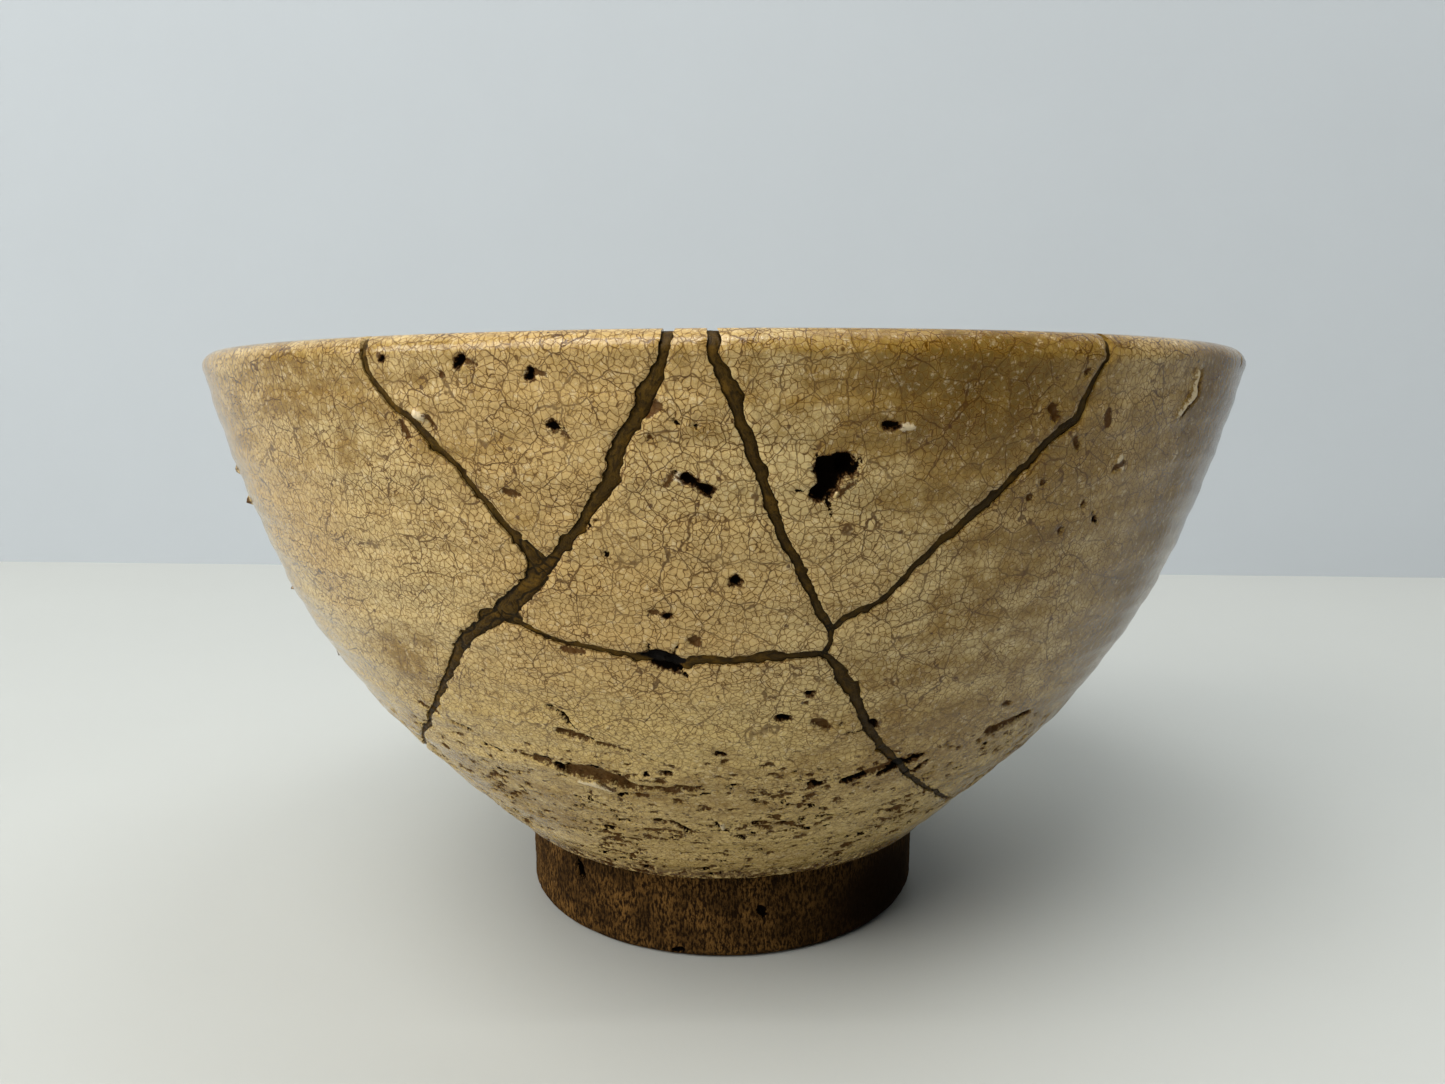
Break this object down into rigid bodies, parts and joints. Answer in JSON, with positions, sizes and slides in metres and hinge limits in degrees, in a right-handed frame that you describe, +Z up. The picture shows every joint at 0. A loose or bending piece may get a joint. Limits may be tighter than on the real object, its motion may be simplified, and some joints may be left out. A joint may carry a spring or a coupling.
{
  "type": "cracked bowl",
  "caption": "Hand-thrown tea bowl with a crackled ochre glaze, broken into sherds and joined again with dark lacquer seams.",
  "frame": {"origin": "on the table under the middle of the foot", "axes": "+Z up through the bowl's middle, -Y towards the mended front that the picture shows, +X to its right"},
  "size_m": [0.1458, 0.1454, 0.0831],
  "materials": {
    "glaze": "glossy, finely crackled",
    "lacquer": "satin"
  },
  "bodies": {
    "root": {"sherd_back_wall": "glaze", "sherd_foot": "glaze", "sherd_front": "glaze", "sherd_rim_left": "glaze", "sherd_rim_right": "glaze", "lacquer_seams": "lacquer"}
  },
  "joints": []
}
